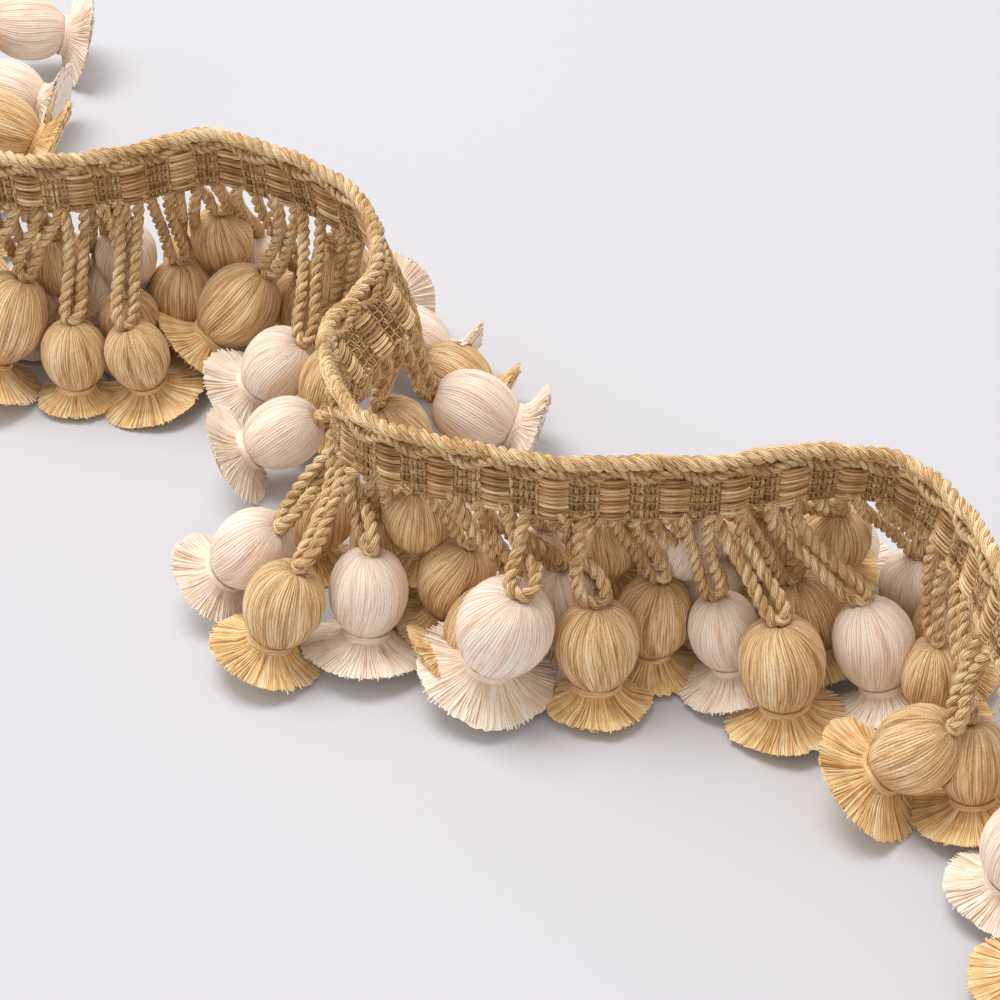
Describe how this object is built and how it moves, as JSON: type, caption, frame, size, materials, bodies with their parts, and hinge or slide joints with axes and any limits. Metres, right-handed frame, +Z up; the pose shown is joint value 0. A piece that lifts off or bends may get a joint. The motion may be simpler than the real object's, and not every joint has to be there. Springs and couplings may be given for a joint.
{
  "type": "ball tassel fringe trim",
  "caption": "Length of ball tassel fringe standing in a loose wave: woven heading with a twisted cord edge, cord loops and small round tassels with flared skirts.",
  "frame": {"origin": "under the middle of the trim's footprint, on the surface that its tassels stand on", "axes": "+Z up from the surface, +Y from the near end of the trim to its far end, +X to the right as seen from the near side"},
  "size_m": [0.2792, 0.3288, 0.0563],
  "materials": {
    "gold_yarn": "matte cotton and viscose yarn, golden tan",
    "cream_yarn": "matte cotton and viscose yarn, warm cream"
  },
  "bodies": {
    "root": {"heading_cord": "gold_yarn", "heading_tape": "gold_yarn", "loop_fringe": "gold_yarn", "tassel_01": "gold_yarn", "tassel_02": "cream_yarn", "tassel_03": "gold_yarn", "tassel_04": "cream_yarn", "tassel_05": "gold_yarn", "tassel_06": "gold_yarn", "tassel_07": "cream_yarn", "tassel_08": "gold_yarn", "tassel_09": "gold_yarn", "tassel_10": "cream_yarn", "tassel_11": "cream_yarn", "tassel_12": "gold_yarn", "tassel_13": "gold_yarn", "tassel_14": "cream_yarn", "tassel_15": "gold_yarn", "tassel_16": "gold_yarn", "tassel_17": "cream_yarn", "tassel_18": "gold_yarn", "tassel_19": "gold_yarn", "tassel_20": "gold_yarn", "tassel_21": "cream_yarn", "tassel_22": "gold_yarn", "tassel_23": "gold_yarn", "tassel_24": "cream_yarn", "tassel_25": "cream_yarn", "tassel_26": "cream_yarn", "tassel_27": "gold_yarn", "tassel_28": "gold_yarn", "tassel_29": "cream_yarn", "tassel_30": "gold_yarn", "tassel_31": "cream_yarn", "tassel_32": "gold_yarn", "tassel_33": "cream_yarn", "tassel_34": "gold_yarn", "tassel_35": "cream_yarn", "tassel_36": "gold_yarn", "tassel_37": "gold_yarn", "tassel_38": "gold_yarn", "tassel_39": "cream_yarn", "tassel_40": "cream_yarn", "tassel_41": "cream_yarn", "tassel_42": "gold_yarn", "tassel_43": "gold_yarn", "tassel_44": "cream_yarn", "tassel_45": "cream_yarn", "tassel_46": "gold_yarn", "tassel_47": "gold_yarn", "tassel_48": "cream_yarn", "tassel_49": "cream_yarn", "tassel_50": "cream_yarn", "tassel_51": "gold_yarn", "tassel_52": "gold_yarn", "tassel_53": "gold_yarn", "tassel_54": "gold_yarn", "tassel_55": "cream_yarn", "tassel_56": "gold_yarn", "tassel_57": "gold_yarn"}
  },
  "joints": []
}
